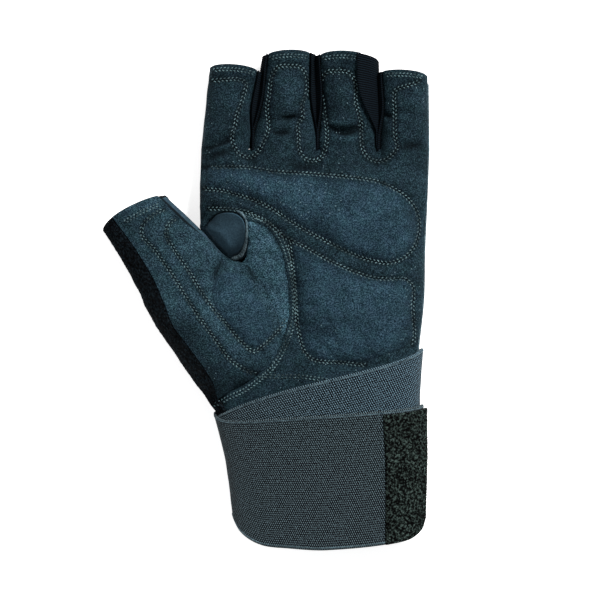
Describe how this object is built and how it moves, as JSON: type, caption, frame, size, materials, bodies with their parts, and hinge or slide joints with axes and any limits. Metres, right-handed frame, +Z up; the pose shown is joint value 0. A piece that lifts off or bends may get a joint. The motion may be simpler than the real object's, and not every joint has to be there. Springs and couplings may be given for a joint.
{
  "type": "weightlifting glove",
  "caption": "Fingerless suede weightlifting glove for the left hand with padded palm, ribbed finger sides, fleece thumb side and long elastic wrist wrap with hook-and-loop end.",
  "frame": {"origin": "middle of the footprint on the floor, the glove lying on its back", "axes": "+Y from the wrist to the fingertips, +X from the thumb side to the little finger, +Z up out of the palm"},
  "size_m": [0.1518, 0.2324, 0.0313],
  "materials": {
    "suede": "matte suede",
    "pad_suede": "matte suede",
    "back_cloth": "matte fleece",
    "rib_cloth": "ribbed knit",
    "smooth_cloth": "smooth stretch cloth",
    "elastic": "woven elastic",
    "closure": "hook and loop"
  },
  "bodies": {
    "root": {"palm_panel": "suede", "back_panel": "back_cloth", "rib_index_middle": "rib_cloth", "rib_middle_ring": "rib_cloth", "rib_ring_little": "rib_cloth", "thumb_suede": "suede", "thumb_fleece": "back_cloth", "thumb_inset": "suede", "thumb_gusset": "smooth_cloth", "upper_pad": "pad_suede", "heel_pad": "pad_suede", "thumb_pad": "pad_suede", "wrist_wrap": "elastic", "closure_patch": "closure"}
  },
  "joints": []
}
